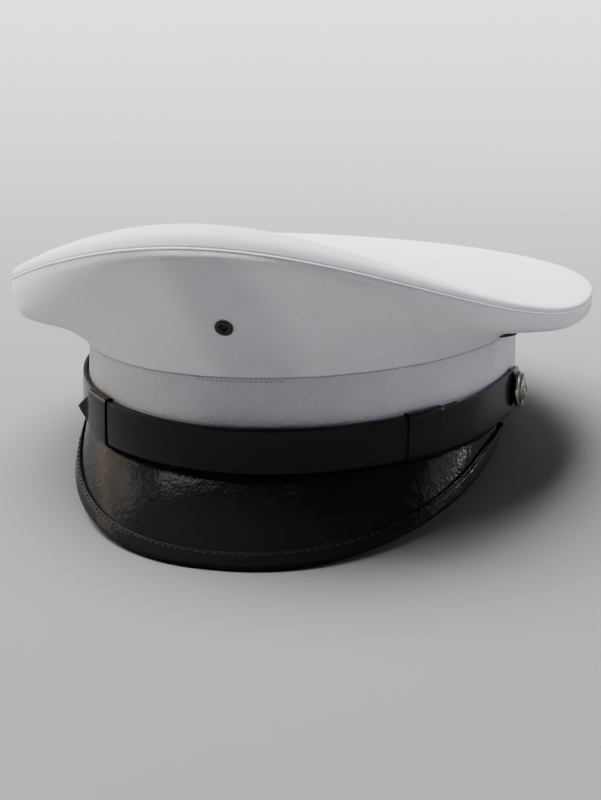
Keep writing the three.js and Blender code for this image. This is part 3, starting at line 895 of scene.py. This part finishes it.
class CAP_OT_buttons(CapOperator):
    """Domed metal buttons at the ends of the strap"""

    bl_idname = "cap.buttons"
    bl_label = "Buttons"

    def execute(self, context):
        form = self.form(context)
        for side, word in ((-1, "left"), (1, "right")):
            turn = math.radians(BUTTON_ANGLE) * side
            out = STRAP_BUTTON_OFFSET + STRAP_OUTER_WALL + BUTTON_LIFT
            seat = (form.oval(turn, out, form.strap_height(turn)), Vector((side, 0, 0)))
            bm = bmesh.new()
            weave = bm.loops.layers.uv.new("weave")
            spin_outline(bm, BUTTON_OUTLINE, 56)
            for ring in BUTTON_RELIEF:
                for i in range(ring["count"]):
                    around = Matrix.Rotation(i / ring["count"] * math.tau, 4, "Z")
                    out = Matrix.Translation((ring["radius"], 0, ring["height"]))
                    spot = around @ out @ Matrix.Rotation(ring["turn"], 4, ring["axis"])
                    spot = spot @ Matrix.Diagonal((*ring["size"], 1))
                    bmesh.ops.create_icosphere(bm, subdivisions=ring["detail"], radius=1, matrix=spot)
            crest = Matrix.Translation((0, 0, 4.25))
            bmesh.ops.create_icosphere(bm, subdivisions=2, radius=0.75, matrix=crest)
            bmesh.ops.recalc_face_normals(bm, faces=bm.faces)
            for face in bm.faces:
                for loop in face.loops:
                    x, y, z = loop.vert.co
                    dome = 4.4 - 0.062 * (x * x + y * y)
                    loop[weave].uv = (0.55 + (z - dome) * 0.9, 0)
            name, node = "button_dome_" + word, "button_" + word
            finish_piece(context, stood(bm, seat), name, "silver", "antique_silver", node, sharp=50)
        return {"FINISHED"}


class CAP_OT_eyelets(CapOperator):
    """Front badge eyelet and the two side vents"""

    bl_idname = "cap.eyelets"
    bl_label = "Eyelets"

    def execute(self, context):
        form = self.form(context)
        for eyelet in EYELETS:
            name, row, slot = eyelet["name"], eyelet["row"], eyelet["slot"]
            turn = math.radians(eyelet["degrees"])
            around = form.wall(turn + 0.01, row) - form.wall(turn - 0.01, row)
            along = form.wall(turn, row + 0.5) - form.wall(turn, row - 0.5)
            normal = around.cross(along).normalized()
            seat = (form.wall(turn, row), normal)
            # Painted shade: a dark enamel disc closes the hole, so the lit inside cloth does not show through
            # it.
            shade_disc = bmesh.new()
            lift = Matrix.Translation((0, 0, SHADE_DISC_HEIGHT))
            bmesh.ops.create_circle(shade_disc, cap_ends=True, segments=24, radius=SHADE_DISC_RADIUS, matrix=lift)
            finish_piece(context, stood(shade_disc, seat), "eyelet_shade_disc_" + name, "enamel", slot, wall=0.0003)
            ring = bmesh.new()
            spin_outline(ring, EYELET_OUTLINE, 40)
            bmesh.ops.recalc_face_normals(ring, faces=ring.faces)
            ring = stood(ring, seat)
            finish_piece(context, ring, "eyelet_ring_" + name, "enamel", slot, "eyelet_" + name, sharp=60)
        return {"FINISHED"}


class CAP_OT_stitching(CapOperator):
    """Fine stitching along the rim and at the front of the band's seam"""

    bl_idname = "cap.stitching"
    bl_label = "Seam Stitching"

    def execute(self, context):
        form = self.form(context)
        count = 300
        points, normals = [], []
        for i in range(count + 1):
            turn = i / count * math.tau
            points.append(form.shoulder(turn, 0.22) + form.outward(turn) * 0.02)
            normals.append(form.outward(turn))
        rim = stitch_run(points, normals, 0.14, 0.6)
        finish_piece(context, rim, "rim_stitching", "white_thread", "white_twill")

        def ridge(u, v):
            turn, angle = u * math.tau, v * math.tau
            outward = form.outward(turn)
            middle = form.wall(turn, form.last) - outward * 0.3 + Vector((0, 0, 0.2))
            return middle + outward * (0.5 * math.cos(angle)) + Vector((0, 0, 0.45 * math.sin(angle)))

        bm = sheet(240, 10, ridge, (0.76, 0.004), closed=True)
        finish_piece(context, bm, "rim_ridge", "twill", "white_twill")

        points, normals = [], []
        for i in range(19):
            turn = math.radians(mix(-9, 14, i / 18))
            points.append(form.oval(turn, 0.05, form.band_top(turn) - 1.0))
            normals.append(form.outward(turn))
        front = stitch_run(points, normals, 0.22, 0.55)
        finish_piece(context, front, "band_stitching", "grey_thread", "woven_band")
        return {"FINISHED"}


def softbox(context, name, place, size, power, aim=CAP_MIDDLE, colour=WHITE, spread=120):
    """A rectangular area light turned to its aim."""
    lamp = bpy.data.lights.new(name, "AREA")
    lamp.shape = "RECTANGLE"
    lamp.size, lamp.size_y = size
    lamp.energy = power
    lamp.spread = math.radians(spread)
    lamp.color = colour
    light = bpy.data.objects.new(name, lamp)
    light.location = place
    light.rotation_euler = (Vector(aim) - Vector(place)).to_track_quat("-Z", "Y").to_euler()
    context.scene.collection.objects.link(light)


class CAP_OT_stage(CapOperator):
    """Pale floor, soft lights and the camera"""

    bl_idname = "cap.stage"
    bl_label = "Stage"

    def floor(self, context):
        """A round floor that curves up into a low backdrop."""
        bm = bmesh.new()
        bmesh.ops.create_circle(bm, cap_ends=True, segments=96, radius=FLOOR_RADIUS)
        edges = list(bm.edges)
        for step in range(1, 10):
            turn = math.radians(10 * step)
            made = bmesh.ops.extrude_edge_only(bm, edges=edges)["geom"]
            edges = [e for e in made if isinstance(e, bmesh.types.BMEdge)]
            for vert in {v for e in edges for v in e.verts}:
                flat = vert.co.xy.normalized() * (FLOOR_RADIUS + FLOOR_CURVE * math.sin(turn))
                vert.co = (flat.x, flat.y, FLOOR_CURVE * (1 - math.cos(turn)))
        for face in bm.faces:
            face.smooth = True
        mesh = bpy.data.meshes.new("studio_floor")
        bm.to_mesh(mesh)
        bm.free()
        floor = bpy.data.objects.new("studio_floor", mesh)
        context.scene.collection.objects.link(floor)
        paper = Finish("studio_paper", Roughness=0.9)
        tone = paper.noise(3, 2)
        pale = context.scene.cap_colours.floor
        mesh.materials.append(paper.feed(Base_Color=paper.tint(tone, shade(pale, 0.99), pale)))

    def world(self, context):
        world = bpy.data.worlds.new("studio")
        world.use_nodes = True
        background = world.node_tree.nodes["Background"]
        background.inputs["Color"].default_value = WORLD_COLOUR
        background.inputs["Strength"].default_value = WORLD_STRENGTH
        context.scene.world = world

    def camera(self, context):
        azimuth, elevation, roll = (math.radians(value) for value in CAMERA_TURN.values())
        level = math.cos(elevation)
        back = Vector((math.sin(azimuth) * level, -math.cos(azimuth) * level, math.sin(elevation)))
        right = Vector((math.cos(azimuth), math.sin(azimuth), 0))
        up = back.cross(right)
        rolled = math.cos(roll) * right + math.sin(roll) * up
        up = math.cos(roll) * up - math.sin(roll) * right
        lens = bpy.data.cameras.new("photo_camera")
        lens.lens = CAMERA_LENS
        lens.sensor_width = CAMERA_SENSOR
        lens.clip_end = CAMERA_REACH
        camera = bpy.data.objects.new("photo_camera", lens)
        place = Matrix.Translation(Vector(CAMERA_TARGET) + back * CAMERA_DISTANCE)
        camera.matrix_world = place @ Matrix((rolled, up, back)).transposed().to_4x4()
        context.scene.collection.objects.link(camera)
        context.scene.camera = camera

    def execute(self, context):
        self.floor(context)
        for light in LIGHTS:
            softbox(context, **light)
        self.world(context)
        self.camera(context)
        return {"FINISHED"}


STEPS = [
    CAP_OT_crown_side,
    CAP_OT_crown_top,
    CAP_OT_band,
    CAP_OT_visor,
    CAP_OT_binding,
    CAP_OT_strap,
    CAP_OT_buttons,
    CAP_OT_eyelets,
    CAP_OT_stitching,
    CAP_OT_stage,
]


class CAP_PT_sidebar(Panel):
    """Steps, sizes and colours of the cap"""

    bl_idname = "CAP_PT_sidebar"
    bl_label = "Peaked Cap"
    bl_space_type = "VIEW_3D"
    bl_region_type = "UI"
    bl_category = "Cap"

    def draw(self, context):
        for step in STEPS:
            self.layout.operator(step.bl_idname)
        for group in (context.scene.cap_sizes, context.scene.cap_colours):
            for name in group.bl_rna.properties.keys():
                if name not in {"rna_type", "name"}:
                    self.layout.prop(group, name)


CLASSES = [CapSizes, CapColours, *STEPS, CAP_PT_sidebar]


def register():
    for cls in CLASSES:
        bpy.utils.register_class(cls)
    bpy.types.Scene.cap_sizes = PointerProperty(type=CapSizes)
    bpy.types.Scene.cap_colours = PointerProperty(type=CapColours)


def unregister():
    del bpy.types.Scene.cap_sizes
    del bpy.types.Scene.cap_colours
    for cls in reversed(CLASSES):
        bpy.utils.unregister_class(cls)


def main():
    register()
    for step in STEPS:
        group, name = step.bl_idname.split(".")
        getattr(getattr(bpy.ops, group), name)()


if __name__ == "__main__":
    main()
